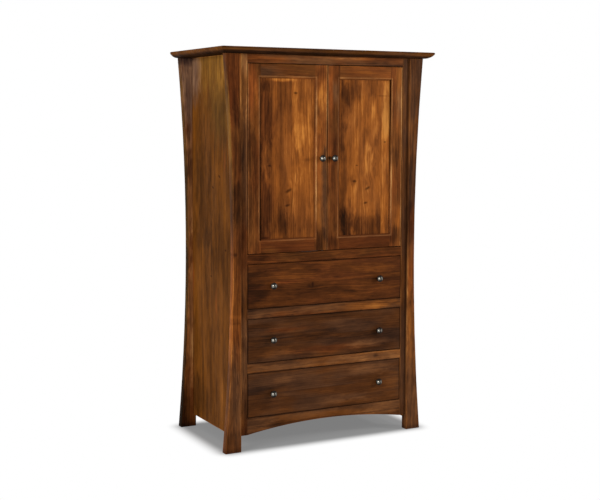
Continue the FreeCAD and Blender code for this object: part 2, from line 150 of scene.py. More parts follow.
def colour(red, green, blue):
    """A plain 8-bit picture colour as linear red, green, blue and alpha."""

    def linear(value):
        share = value / 255
        return share / 12.92 if share <= 0.04045 else ((share + 0.055) / 1.055) ** 2.4

    return (linear(red), linear(green), linear(blue), 1.0)


STAIN = (
    (0.00, colour(30, 15, 6)),
    (0.20, colour(58, 30, 12)),
    (0.40, colour(87, 47, 20)),
    (0.60, colour(119, 66, 28)),
    (0.80, colour(153, 88, 37)),
    (1.00, colour(198, 126, 58)),
)
BARE_WOOD = (
    (0.00, colour(122, 84, 48)),
    (0.35, colour(176, 134, 88)),
    (0.65, colour(205, 166, 118)),
    (1.00, colour(226, 194, 150)),
)
PLYWOOD = (
    (0.00, colour(98, 64, 36)),
    (0.40, colour(148, 106, 66)),
    (0.70, colour(176, 132, 86)),
    (1.00, colour(204, 162, 112)),
)
KNOT_COLOUR = colour(26, 11, 5)
PEWTER = ((0.30, colour(26, 24, 22)), (0.55, colour(40, 37, 33)), (0.75, colour(58, 54, 49)))
# pewter rubbed bright, partly a painted highlight
RUBBED_HIGHLIGHT_PEWTER = colour(150, 146, 137)
BRONZED = ((0.30, colour(22, 17, 13)), (0.70, colour(48, 38, 30)))
ZINC = ((0.30, colour(150, 148, 142)), (0.70, colour(205, 203, 196)))
BROWN_PLASTIC = ((0.30, colour(62, 42, 30)), (0.70, colour(84, 60, 44)))
WHITE = (1.0, 1.0, 1.0, 1.0)

# Tints multiply the stain
PLAIN = (1.0, 1.0, 1.0, 1.0)
WARM = (1.03, 0.95, 0.95, 1.0)
MILD = (0.99, 1.06, 1.06, 1.0)
REDDISH = (1.05, 0.90, 0.90, 1.0)
ORANGE = (1.05, 1.02, 0.88, 1.0)
GOLDEN = (0.99, 1.14, 1.00, 1.0)
HONEY = (1.00, 1.09, 0.66, 1.0)
OLIVE = (0.97, 1.38, 1.15, 1.0)
GREYISH = (0.95, 1.24, 2.00, 1.0)
# a grey-violet painted sheen: the reflection on the lacquer
VIOLET_SHEEN = (0.95, 1.65, 4.60, 1.0)
# a pale tint for painted highlights on lit edges, partly wear
HIGHLIGHT = (1.02, 1.20, 1.40, 1.0)
FAWN = (1.02, 0.97, 0.94, 1.0)


# Node building

class Graph:
    """A node tree, with short calls that add nodes and link them."""

    def __init__(self, tree):
        self.tree = tree

    def feed(self, socket, value):
        """Link an output to the socket, or set the socket to a plain value."""
        if isinstance(value, bpy.types.NodeSocket):
            self.tree.links.new(value, socket)
        else:
            socket.default_value = value

    def add(self, kind, inputs=None, **settings):
        made = self.tree.nodes.new("ShaderNode" + kind)
        for key, value in settings.items():
            setattr(made, key, value)
        for key, value in (inputs or {}).items():
            self.feed(made.inputs[key], value)
        return made

    def math(self, operation, *values):
        made = self.add("Math", operation=operation)
        for socket, value in zip(made.inputs, values):
            self.feed(socket, value)
        return made.outputs[0]

    def vector(self, operation, *values):
        made = self.add("VectorMath", operation=operation)
        for socket, value in zip(made.inputs, values):
            self.feed(socket, value)
        single = operation in ("LENGTH", "DISTANCE", "DOT_PRODUCT")
        return made.outputs["Value" if single else "Vector"]

    def parts(self, vector):
        return self.add("SeparateXYZ", {"Vector": vector}).outputs

    def join(self, x, y, z):
        return self.add("CombineXYZ", {"X": x, "Y": y, "Z": z}).outputs[0]

    def place(self):
        """The point in the part's own frame."""
        return self.add("TexCoord").outputs["Object"]

    def noise(self, vector, stretch, detail=2.0, roughness=0.5):
        """Noise whose features are 1 / stretch metres long on each axis."""
        scaled = self.vector("MULTIPLY", vector, stretch)
        settings = {"Vector": scaled, "Scale": 1.0, "Detail": detail, "Roughness": roughness}
        return self.add("TexNoise", settings).outputs["Fac"]

    def fade(self, value, low, high):
        """A smooth step from 0 at low to 1 at high."""
        settings = {"Value": value, "From Min": low, "From Max": high}
        return self.add("MapRange", settings, interpolation_type="SMOOTHSTEP").outputs["Result"]

    def without(self, value):
        """One minus the value."""
        return self.math("SUBTRACT", 1.0, value)

    def centred(self, value, middle=0.5):
        """The value less its middle."""
        return self.math("SUBTRACT", value, middle)

    def sum_of(self, terms):
        """The sum of values, each times its share."""
        total = 0.0
        for share, value in terms:
            total = self.math("MULTIPLY_ADD", value, share, total)
        return total

    def mix(self, factor, first, second, blend="MIX"):
        """A mix of two colours. Its colour sockets are inputs 6 and 7 and output 2."""
        made = self.add("Mix", data_type="RGBA", blend_type=blend)
        self.feed(made.inputs[0], factor)
        self.feed(made.inputs[6], first)
        self.feed(made.inputs[7], second)
        return made.outputs[2]

    def mix_shaders(self, factor, first, second):
        made = self.add("MixShader")
        for socket, value in zip(made.inputs, (factor, first, second)):
            self.feed(socket, value)
        return made.outputs[0]

    def ramp(self, factor, stops):
        made = self.add("ValToRGB", {"Fac": factor})
        elements = made.color_ramp.elements
        while len(elements) < len(stops):
            elements.new(0.5)
        for element, (position, shade) in zip(elements, stops):
            element.position = position
            element.color = shade
        return made.outputs["Color"]

    def group(self, tree, inputs):
        made = self.add("Group")
        made.node_tree = tree
        for key, value in inputs.items():
            self.feed(made.inputs[key], value)
        return made.outputs


def new_group(name, inputs, outputs):
    """An empty node group: its graph, its input sockets and its output sockets."""
    tree = bpy.data.node_groups.new(name, "ShaderNodeTree")
    for label, kind in inputs.items():
        tree.interface.new_socket(label, in_out="INPUT", socket_type="NodeSocket" + kind)
    for label, kind in outputs.items():
        tree.interface.new_socket(label, in_out="OUTPUT", socket_type="NodeSocket" + kind)
    entry = tree.nodes.new("NodeGroupInput")
    leave = tree.nodes.new("NodeGroupOutput")
    return Graph(tree), entry.outputs, leave.inputs


def new_material(name):
    """An empty material, its graph and its Principled shader."""
    material = bpy.data.materials.new(name)
    material.use_nodes = True
    shader = material.node_tree.nodes["Principled BSDF"]
    return material, Graph(material.node_tree), shader


def set_surface(graph, shader, shade, rough, height, bump):
    """Give a shader its colour, its roughness and a bump from a height."""
    strength, depth = bump
    raised = graph.add("Bump", {"Height": height, "Strength": strength, "Distance": depth})
    graph.feed(shader.inputs["Base Color"], shade)
    graph.feed(shader.inputs["Roughness"], rough)
    graph.feed(shader.inputs["Normal"], raised.outputs["Normal"])


def dress(node, material):
    """Give a CAD node one material on all its faces."""
    for slot in nodes[node].material_slots:
        slot.link = "OBJECT"
        slot.material = material


# Wood figure

def wood_figure():
    """The tone of stained wood, board by board: streaks, blotches, patches, dashes, rings and fibre."""
    graph, given, result = new_group(
        "wood_figure",
        {"Place": "Vector", "Seed": "Float", "Board Width": "Float", "Board Start": "Float"},
        {"Tone": "Float", "Fibre": "Float", "Hue": "Float", "Seam": "Float"},
    )
    across = graph.parts(given["Place"])["X"]
    from_start = graph.math("SUBTRACT", across, given["Board Start"])
    board_place = graph.math("DIVIDE", from_start, given["Board Width"])
    board_key = graph.join(graph.math("FLOOR", board_place), given["Seed"], 0.0)
    chance = graph.add("TexWhiteNoise", {"Vector": board_key}, noise_dimensions="3D").outputs
    offset = graph.vector("MULTIPLY", chance["Color"], (board_jump, board_jump, board_jump))
    place = graph.vector("ADD", given["Place"], offset)

    drift = graph.noise(place, (6.0, 6.0, 1.6), detail=1.0)
    sway = graph.math("MULTIPLY", graph.centred(drift), grain_sway)
    bent = graph.vector("ADD", place, graph.join(sway, 0.0, 0.0))
    broad = graph.noise(bent, (13.0, 13.0, 2.6), detail=2.0)
    blotch = graph.noise(place, (26.0, 26.0, 11.0), detail=3.0, roughness=0.55)
    streak = graph.noise(bent, (105.0, 105.0, 7.0), detail=2.0, roughness=0.55)
    stripe = graph.noise(bent, (170.0, 170.0, 1.4), detail=1.0)
    fleck = graph.noise(bent, (140.0, 140.0, 27.0), detail=2.0)
    patch = graph.fade(graph.noise(bent, (24.0, 24.0, 3.6), detail=4.0, roughness=0.6), 0.44, 0.56)
    dash = graph.fade(graph.noise(bent, (150.0, 150.0, 19.0), detail=1.0), 0.62, 0.72)
    fibre = graph.noise(bent, (850.0, 850.0, 14.0))
    hue = graph.noise(bent, (16.0, 16.0, 4.0), detail=2.0)

    from_pith = graph.vector("ADD", bent, (0.0, pith_depth, 0.0))
    flat = graph.vector("MULTIPLY", from_pith, (1.0, 1.0, ring_taper))
    ring = graph.math("FRACT", graph.math("MULTIPLY", graph.vector("LENGTH", flat), rings_per_metre))
    late_wood = graph.math("POWER", ring, late_wood_sharpness)

    tone = graph.sum_of((
        (0.56, graph.centred(broad)),
        (0.34, graph.centred(blotch)),
        (0.11, graph.centred(patch)),
        (0.20, graph.centred(streak)),
        (0.40, graph.centred(stripe)),
        (0.20, graph.centred(fleck)),
        (-0.10, graph.centred(dash, 0.1)),
        (0.12, graph.centred(fibre)),
        (-0.06, graph.centred(late_wood, 0.3)),
        (0.12, graph.centred(chance["Value"])),
    ))
    from_middle = graph.math("ABSOLUTE", graph.centred(graph.math("FRACT", board_place)))
    from_seam = graph.math("MULTIPLY", graph.math("SUBTRACT", 0.5, from_middle), given["Board Width"])
    graph.feed(result["Tone"], tone)
    graph.feed(result["Fibre"], fibre)
    graph.feed(result["Hue"], graph.fade(hue, 0.36, 0.64))
    graph.feed(result["Seam"], graph.without(graph.fade(from_seam, seam_core, seam_width)))
    return graph.tree


def soft_mark():
    """A soft oval on the face of a board, 1 in its middle and 0 outside."""
    graph, given, result = new_group(
        "soft_mark",
        {"Place": "Vector", "Wobble": "Float", "Across": "Float", "Along": "Float",
         "Half Width": "Float", "Half Length": "Float"},
        {"Mask": "Float"},
    )
    place = graph.parts(given["Place"])
    wide = graph.math("DIVIDE", graph.math("SUBTRACT", place["X"], given["Across"]), given["Half Width"])
    long = graph.math("DIVIDE", graph.math("SUBTRACT", place["Z"], given["Along"]), given["Half Length"])
    distance = graph.vector("LENGTH", graph.join(wide, long, 0.0))
    ragged = graph.math("ADD", distance, given["Wobble"])
    graph.feed(result["Mask"], graph.without(graph.fade(ragged, mark_core, 1.0)))
    return graph.tree


def knot_swirl():
    """Bends a board's grain round a knot and gives the knot's dark middle."""
    graph, given, result = new_group(
        "knot_swirl",
        {"Place": "Vector", "Wobble": "Float", "Across": "Float", "Along": "Float",
         "Size": "Float", "Lean": "Float"},
        {"Place": "Vector", "Core": "Float"},
    )
    place = graph.parts(given["Place"])
    wide = graph.math("SUBTRACT", place["X"], given["Across"])
    long = graph.math("SUBTRACT", place["Z"], given["Along"])
    leaning = graph.math("SUBTRACT", long, graph.math("MULTIPLY", wide, given["Lean"]))
    wide_share = graph.math("DIVIDE", wide, given["Size"])
    long_share = graph.math("DIVIDE", leaning, given["Size"])
    oval = graph.join(wide_share, graph.math("MULTIPLY", long_share, knot_squat), 0.0)
    distance = graph.math("MULTIPLY_ADD", given["Wobble"], knot_wobble, graph.vector("LENGTH", oval))
    reach = graph.vector("MULTIPLY", graph.join(wide_share, long_share, 0.0), knot_reach)
    near = graph.without(graph.fade(graph.vector("LENGTH", reach), 0.0, 1.0))
    pull = graph.math("MULTIPLY", near, knot_pull)
    moved = graph.join(graph.math("MULTIPLY", wide, pull), 0.0, 0.0)
    graph.feed(result["Place"], graph.vector("ADD", given["Place"], moved))
    graph.feed(result["Core"], graph.without(graph.fade(distance, *knot_core)))
    return graph.tree


figure_tree = wood_figure()
mark_tree = soft_mark()
knot_tree = knot_swirl()


# Edge bands: painted highlight, partly wear, and painted shade

def from_faces(graph, low, high):
    """The distances to the nearer of a box's faces along each axis, as a vector."""
    place = graph.place()
    above = graph.vector("SUBTRACT", place, tuple(low))
    below = graph.vector("SUBTRACT", tuple(high), place)
    return graph.vector("MINIMUM", above, below)


def middle_of(graph, gap):
    """The middle one of a vector's three parts, which is small along an edge of a box."""
    gap = graph.parts(gap)
    smaller = graph.math("MINIMUM", gap["X"], gap["Y"])
    larger = graph.math("MAXIMUM", gap["X"], gap["Y"])
    return graph.math("MAXIMUM", smaller, graph.math("MINIMUM", larger, gap["Z"]))


def box_arris(low, high):
    """A function that gives the distance to the nearest edge of a box."""
    return lambda graph: middle_of(graph, from_faces(graph, low, high))


def door_arris(side):
    """A function that gives the distance to a door's upright outer edges or its inner moulded edge."""
    hinge_low, hinge_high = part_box(side + "_door_hinge_stile")
    meeting_low, meeting_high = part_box(side + "_door_meeting_stile")
    low = Vector(map(min, hinge_low, meeting_low))
    high = Vector(map(max, hinge_high, meeting_high))
    sight_low, sight_high = sight_of(side)
    inset = Vector((sticking_width, 0.0, sticking_width))

    def distance(graph):
        gap = graph.parts(from_faces(graph, low, high))
        outer = graph.math("MAXIMUM", gap["X"], gap["Y"])
        inside = graph.parts(from_faces(graph, sight_low - inset, sight_high + inset))
        from_line = graph.math("ABSOLUTE", graph.math("MINIMUM", inside["X"], inside["Z"]))
        from_front = graph.math("SUBTRACT", graph.parts(graph.place())["Y"], low.y)
        inner = graph.math("MAXIMUM", from_line, from_front)
        return graph.math("MINIMUM", outer, inner)

    return distance


def post_arris(node):
    """A function that gives the distance to the edges of a post with one hollow side."""
    low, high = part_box(node)
    side = 1.0 if high.x > 0.0 else -1.0
    inner = min(abs(low.x), abs(high.x))
    outer = max(abs(low.x), abs(high.x))
    foot = Vector((outer, low.z))
    waist = Vector((inner + post_waist_width, post_waist_height))
    bow_centre, bow_radius = circle_through(foot, waist, Vector((outer, high.z)))

    def distance(graph):
        place = graph.parts(graph.place())
        away = graph.join(
            graph.math("MULTIPLY_ADD", place["X"], side, -bow_centre.x),
            0.0,
            graph.math("SUBTRACT", place["Z"], bow_centre.y),
        )
        from_bow = graph.math("SUBTRACT", graph.vector("LENGTH", away), bow_radius)
        from_inner = graph.math("MULTIPLY_ADD", place["X"], side, -inner)
        gap = graph.parts(from_faces(graph, low, high))
        from_side = graph.math("MINIMUM", graph.math("ABSOLUTE", from_bow), from_inner)
        return middle_of(graph, graph.join(from_side, gap["Y"], gap["Z"]))

    return distance


def circle_through(first, second, third):
    """The centre and radius of the circle through three points of a plane."""
    to_second = second - first
    to_third = third - first
    turn = 2.0 * (to_second.x * to_third.y - to_second.y * to_third.x)
    centre = first + Vector((
        (to_third.y * to_second.length_squared - to_second.y * to_third.length_squared) / turn,
        (to_second.x * to_third.length_squared - to_third.x * to_second.length_squared) / turn,
    ))
    return centre, (first - centre).length


def sight_of(side):
    """The part of a door panel that shows inside the door frame."""
    low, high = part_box(side + "_door_panel")
    inset = Vector((panel_hidden_edge, 0.0, panel_hidden_edge))
    return low + inset, high - inset


def edge_light_mask(graph, distance):
    """1 on an edge and 0 a few millimetres away, ragged and in patches: the band that takes a painted
    highlight, partly wear, or painted shade.
    """
    place = graph.place()
    ragged = graph.math("MULTIPLY", graph.noise(place, ragged_stretch), ragged_width)
    clear = graph.fade(graph.math("SUBTRACT", distance, ragged), 0.0, edge_band_width)
    rubbed = graph.fade(graph.noise(place, edge_patch_stretch), *edge_patch_range)
    return graph.math("MULTIPLY", graph.without(clear), rubbed)


# Wood materials

seed_count = 0


def next_seed():
    """A new number for each piece, so that no two have the same figure."""
    global seed_count
    seed_count += 1
    return seed_count * seed_step


def board_coordinates(graph, grain):
    """The part's own coordinates as across, through and along the board."""
    place = graph.parts(graph.place())
    return graph.join(*[place[axis] for axis in grain])


def bend_round_knots(graph, place, wobble, knots):
    """The board's coordinates, bent round its knots, and the dark middle of each knot."""
    cores = []
    for knot in knots:
        found = graph.group(knot_tree, {
            "Place": place, "Wobble": wobble, "Across": knot.across, "Along": knot.along,
            "Size": knot.size, "Lean": knot.lean,
        })
        place = found["Place"]
        cores.append(found["Core"])
    return place, cores


def mark_mask(graph, place, wobble, mark):
    """1 in the middle of a mark and 0 away from it."""
    mask = graph.group(mark_tree, {
        "Place": place, "Wobble": wobble, "Across": mark.across, "Along": mark.along,
        "Half Width": mark.half_width, "Half Length": mark.half_length,
    })["Mask"]
    if not mark.side:
        return mask
    normal = graph.parts(graph.add("NewGeometry").outputs["Normal"])
    on_side = graph.fade(graph.math("ABSOLUTE", normal["X"]), *side_facing)
    return graph.math("MULTIPLY", mask, on_side)


def wood(node, stops, grain, tone, spread=1.0, tints=(WARM, MILD), boards=ONE_BOARD,
         marks=(), knots=(), arris=None, wear=0.20, edge_light_tint=HIGHLIGHT, sight=None, pooled=None,
         gloss=0.02, roughness=0.42):
    """Wood for one CAD node, with its own figure, marks and knots. Its edges are made pale, a painted
    highlight that is partly wear, where the edge change is above zero, and dark, painted shade along the
    gaps, where it is below zero."""
    material, graph, shader = new_material(node + "_wood")
    place = board_coordinates(graph, grain)
    wobble_noise = graph.noise(place, wobble_stretch, detail=3.0, roughness=0.6)
    wobble = graph.math("MULTIPLY", graph.centred(wobble_noise), wobble_size)
    bent, cores = bend_round_knots(graph, place, wobble, knots)
    figure = graph.group(figure_tree, {
        "Place": bent, "Seed": next_seed(), "Board Width": boards.width, "Board Start": boards.start,
    })

    terms = [(spread, figure["Tone"]), (seam_change, figure["Seam"])]
    tint = graph.mix(figure["Hue"], *tints)
    for mark in marks:
        mask = mark_mask(graph, place, wobble, mark)
        terms.append((mark.change, mask))
        if mark.tint:
            tint = graph.mix(mask, tint, mark.tint)
    if sight:
        inside = graph.parts(from_faces(graph, *sight))
        from_frame = graph.math("MINIMUM", inside["X"], inside["Z"])
        terms.append((sight_change, graph.without(graph.fade(from_frame, 0.0, sight_width))))
    if pooled:
        height = graph.parts(graph.place())["Z"]
        terms.append((pooled.change, graph.without(graph.fade(height, pooled.bottom, pooled.top))))
    # the edge band: a painted highlight, partly wear, above zero, and painted shade in the gaps below
    # zero
    distance = (arris or box_arris(*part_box(node)))(graph)
    edge_band = edge_light_mask(graph, distance)
    terms.append((wear, edge_band))
    if wear > 0.0:
        tint = graph.mix(edge_band, tint, edge_light_tint)

    shade = graph.ramp(graph.math("ADD", graph.sum_of(terms), tone), stops)
    shade = graph.mix(1.0, shade, tint, blend="MULTIPLY")
    for core in cores:
        shade = graph.mix(graph.math("MULTIPLY", core, knot_strength), shade, KNOT_COLOUR)
    fibre = figure["Fibre"]
    rough = graph.math("MULTIPLY_ADD", graph.centred(fibre), fibre_roughness, roughness)
    set_surface(graph, shader, shade, rough, fibre, fibre_bump)
    shader.inputs["Specular IOR Level"].default_value = gloss
    dress(node, material)


def ease_edges(node, width):
    """Round a node's sharp edges a little, as sanding does."""
    piece = nodes[node]
    weld = piece.modifiers.new("weld", "WELD")
    weld.merge_threshold = weld_distance
    flat = piece.modifiers.new("flat_faces", "DECIMATE")
    flat.decimate_type = "DISSOLVE"
    flat.angle_limit = flat_angle
    bevel = piece.modifiers.new("eased_edges", "BEVEL")
    bevel.width = width
    bevel.segments = edge_segments
    bevel.limit_method = "ANGLE"
    bevel.angle_limit = edge_angle
    bevel.use_clamp_overlap = True


def stained(node, grain, tone, edge=board_edge, **looks):
    """A CAD node of stained wood with eased edges."""
    wood(node, STAIN, grain, tone, **looks)
    ease_edges(node, edge)


def door_frame(side):
    """The looks that the stiles and rails of a door share: pale greyish edges that are a painted
    highlight, partly wear.
    """
    return {"edge": fine_edge, "arris": door_arris(side), "wear": 0.28, "edge_light_tint": GREYISH}


def post_looks(node):
    """The looks that the four posts share."""
    return {"edge": post_edge, "arris": post_arris(node), "pooled": FOOT_STAIN}


# Left door

stained(
    "left_door_panel", UPRIGHT, 0.66, boards=Boards(0.140, -0.183), tints=(PLAIN, ORANGE),
    sight=sight_of("left"),
    marks=(
        Mark(-0.330, 1.560, 0.080, 0.270, -0.30, WARM),
        Mark(-0.312, 1.350, 0.044, 0.170, -0.22),
        Mark(-0.325, 1.690, 0.040, 0.060, -0.22),
        Mark(-0.330, 1.150, 0.075, 0.300, -0.24, WARM),
        Mark(-0.262, 1.230, 0.038, 0.150, 0.18),
        Mark(-0.205, 1.550, 0.040, 0.130, -0.14),
        Mark(-0.125, 1.500, 0.065, 0.300, 0.08, ORANGE),
        Mark(-0.146, 1.460, 0.034, 0.170, 0.28, ORANGE),
        Mark(-0.160, 1.262, 0.040, 0.080, 0.16),
        Mark(-0.120, 1.230, 0.060, 0.170, 0.08, ORANGE),
        Mark(-0.085, 1.150, 0.025, 0.050, -0.12),
        Mark(-0.235, 1.045, 0.064, 0.100, -0.24),
        Mark(-0.090, 1.032, 0.036, 0.100, -0.22),
        Mark(-0.200, 1.030, 0.160, 0.080, -0.08),
        # painted shadow of the left knob
        Mark(-0.100, 1.340, 0.035, 0.014, -0.12),
        # painted highlight along the panel's top edge
        Mark(-0.230, 1.710, 0.110, 0.016, 0.40, ORANGE),
        # painted shadow along the panel's lower edge
        Mark(-0.320, 0.985, 0.035, 0.006, -0.14, REDDISH),
    ),
    knots=(
        Knot(-0.165, 1.648, 0.012),
        Knot(-0.300, 1.315, 0.012),
        Knot(-0.200, 1.198, 0.018, 0.4),
        Knot(-0.205, 1.130, 0.014, 0.2),
    ),
)
left_frame = door_frame("left")
stained(
    "left_door_hinge_stile", UPRIGHT, 0.48, **left_frame,
    marks=(
        Mark(-0.390, 1.670, 0.050, 0.180, 0.16, REDDISH),
        Mark(-0.398, 1.370, 0.028, 0.150, -0.18),
        Mark(-0.398, 1.120, 0.028, 0.240, -0.14),
        Mark(-0.372, 1.560, 0.012, 0.160, 0.12, ORANGE),
        Mark(-0.372, 1.000, 0.030, 0.080, 0.06),
    ),
)
stained(
    "left_door_meeting_stile", UPRIGHT, 0.60, **left_frame,
    marks=(
        Mark(-0.028, 1.740, 0.050, 0.045, -0.12),
        Mark(-0.032, 1.635, 0.042, 0.100, 0.28, ORANGE),
        Mark(-0.046, 1.500, 0.030, 0.080, 0.22, ORANGE),
        Mark(-0.050, 1.415, 0.030, 0.085, 0.12),
        Mark(-0.044, 1.080, 0.018, 0.120, 0.18),
        Mark(-0.002, 1.490, 0.008, 0.160, -0.20, GREYISH),
        Mark(-0.010, 1.190, 0.032, 0.300, -0.32, GREYISH),
        Mark(-0.022, 0.950, 0.066, 0.085, -0.28),
    ),
)
stained(
    "left_door_top_rail", LEVEL_FRONT, 0.52, spread=0.8, **left_frame,
    marks=(Mark(1.748, -0.325, 0.040, 0.120, -0.12, GREYISH),),
)
stained(
    "left_door_bottom_rail", LEVEL_FRONT, 0.39, spread=0.5, tints=(WARM, REDDISH), **left_frame,
    marks=(Mark(0.922, -0.290, 0.030, 0.060, 0.16, MILD),),
)

# Right door

stained(
    "right_door_panel", UPRIGHT, 0.74, boards=Boards(0.115, 0.068), tints=(PLAIN, ORANGE),
    sight=sight_of("right"),
    marks=(
        Mark(0.092, 1.600, 0.045, 0.170, -0.28),
        Mark(0.132, 1.662, 0.070, 0.085, -0.34),
        Mark(0.085, 1.430, 0.026, 0.140, -0.28),
        Mark(0.090, 1.200, 0.030, 0.290, -0.22),
        Mark(0.112, 1.020, 0.075, 0.150, -0.25),
        Mark(0.215, 1.004, 0.210, 0.125, -0.39),
        Mark(0.205, 1.600, 0.035, 0.070, 0.08, ORANGE),
        Mark(0.250, 1.490, 0.044, 0.200, 0.24),
        Mark(0.224, 1.310, 0.036, 0.130, 0.24),
        Mark(0.325, 1.560, 0.035, 0.160, 0.22, MILD),
        Mark(0.340, 1.255, 0.022, 0.090, -0.12),
        Mark(0.142, 1.248, 0.030, 0.040, -0.10),
        Mark(0.305, 1.640, 0.045, 0.005, -0.16),
    ),
    knots=(
        Knot(0.150, 1.235, 0.015),
        Knot(0.225, 1.200, 0.018, 0.4),
        Knot(0.215, 1.130, 0.012, 0.2),
        Knot(0.165, 1.310, 0.008),
        Knot(0.320, 1.420, 0.008),
    ),
)
right_frame = door_frame("right")
stained(
    "right_door_meeting_stile", UPRIGHT, 0.45, **(right_frame | {"wear": 0.14}),
    marks=(
        Mark(0.015, 1.640, 0.024, 0.160, 0.10, REDDISH),
        Mark(0.044, 1.655, 0.024, 0.080, 0.10, GREYISH),
        Mark(0.045, 1.400, 0.016, 0.110, -0.16),
        # painted shadow of the right knob
        Mark(0.013, 1.347, 0.022, 0.012, -0.32, GOLDEN),
        Mark(0.006, 1.220, 0.012, 0.120, -0.14),
        Mark(0.040, 1.190, 0.036, 0.240, -0.16),
        Mark(0.036, 0.945, 0.060, 0.050, -0.22),
    ),
)
stained(
    "right_door_hinge_stile", UPRIGHT, 0.53, **right_frame,
    marks=(
        # painted highlight along the outer edge
        Mark(0.408, 1.540, 0.006, 0.200, 0.24, GREYISH),
        Mark(0.386, 1.400, 0.022, 0.120, -0.20),
        Mark(0.392, 1.600, 0.026, 0.100, 0.06, GREYISH),
        Mark(0.395, 1.050, 0.030, 0.080, 0.12, ORANGE),
        Mark(0.378, 0.962, 0.056, 0.070, -0.28),
    ),
)
stained(
    "right_door_top_rail", LEVEL_FRONT, 0.54, spread=0.8, **right_frame,
    marks=(
        Mark(1.748, 0.200, 0.010, 0.120, 0.08, ORANGE),
        Mark(1.774, 0.210, 0.018, 0.220, 0.16),
    ),
)
stained("right_door_bottom_rail", LEVEL_FRONT, 0.38, spread=0.5, tints=(WARM, REDDISH), **right_frame)

# Case

# The front posts' pale edges are a painted highlight, partly wear.
stained(
    "left_front_post", UPRIGHT, 0.40, wear=0.28, **post_looks("left_front_post"),
    marks=(
        Mark(-0.470, 1.140, 0.060, 0.150, -0.18),
        Mark(-0.464, 1.390, 0.050, 0.300, -0.18),
        Mark(-0.490, 1.660, 0.060, 0.260, -0.12, REDDISH),
        # painted highlight along the inner edge
        Mark(-0.451, 1.640, 0.010, 0.260, 0.30, HIGHLIGHT),
        Mark(-0.500, 1.500, 0.070, 0.480, 0.12, OLIVE, side=True),
        # painted light: the lower outer face is brighter because it turns upward
        Mark(-0.500, 0.620, 0.070, 0.420, 0.24, ORANGE, side=True),
        Mark(-0.480, 0.700, 0.070, 0.320, 0.06, ORANGE),
        Mark(-0.470, 0.565, 0.050, 0.060, 0.10),
        Mark(-0.470, 0.240, 0.060, 0.320, 0.04, GREYISH),
        Mark(-0.470, 0.060, 0.080, 0.070, -0.08),
        Mark(-0.478, 0.915, 0.014, 0.012, -0.22),
        Mark(-0.475, 0.630, 0.050, 0.014, 0.10),
        Mark(-0.475, 0.600, 0.050, 0.010, -0.08),
    ),
)
stained(
    "right_front_post", UPRIGHT, 0.40, wear=0.14, tints=(MILD, GREYISH),
    **post_looks("right_front_post"),
    marks=(
        Mark(0.475, 1.220, 0.080, 0.330, -0.16),
        Mark(0.475, 0.540, 0.080, 0.250, 0.24, MILD),
        Mark(0.475, 0.780, 0.080, 0.220, 0.24, WARM),
        Mark(0.475, 1.030, 0.080, 0.140, -0.16, REDDISH),
        Mark(0.490, 0.130, 0.070, 0.180, 0.12, GREYISH),
        # painted highlight on the inner side face by its edge
        Mark(0.448, 0.900, 0.016, 1.300, 0.12, GREYISH, side=True),
    ),
)
for post, turn, side_change in (("left_back_post", -1, -0.30), ("right_back_post", 1, -0.10)):
    stained(
        post, UPRIGHT, 0.44, wear=-0.06, gloss=0.006, **post_looks(post),
        marks=(
            # painted sheen: a lighter grey-violet reflection
            Mark(turn * 0.488, 1.720, 0.160, 0.520, 0.26, VIOLET_SHEEN),
            Mark(turn * 0.488, 1.120, 0.110, 0.480, 0.12, GREYISH),
            Mark(turn * 0.468, 0.560, 0.040, 0.560, 0.42, GREYISH),
            Mark(turn * 0.520, 0.080, 0.050, 0.340, -0.20),
            # painted shadow of the slab's overhang
            Mark(turn * 0.488, 1.815, 0.300, 0.050, -0.40),
            Mark(turn * 0.488, 0.900, 0.300, 1.600, side_change, OLIVE, side=True),
        ),
    )
stained(
    "left_face_frame_stile", UPRIGHT, 0.40, edge=fine_edge, wear=-0.06, tints=(MILD, GREYISH),
    marks=(
        # painted light on the stile's upper part
        Mark(-0.430, 1.720, 0.060, 0.230, 0.34, HIGHLIGHT),
        Mark(-0.430, 1.790, 0.060, 0.110, 0.14, GREYISH),
        # painted highlight along the edge by the post
        Mark(-0.444, 1.600, 0.012, 0.300, 0.22, HIGHLIGHT),
        # painted highlight along the edge by the door
        Mark(-0.416, 1.350, 0.008, 0.520, 0.18, GREYISH),
        Mark(-0.430, 0.940, 0.060, 0.240, -0.10, WARM),
        Mark(-0.430, 0.560, 0.050, 0.110, 0.14, GREYISH),
        Mark(-0.436, 0.380, 0.024, 0.240, 0.06, GREYISH),
        Mark(-0.430, 0.080, 0.120, 0.110, -0.14, WARM),
    ),
)
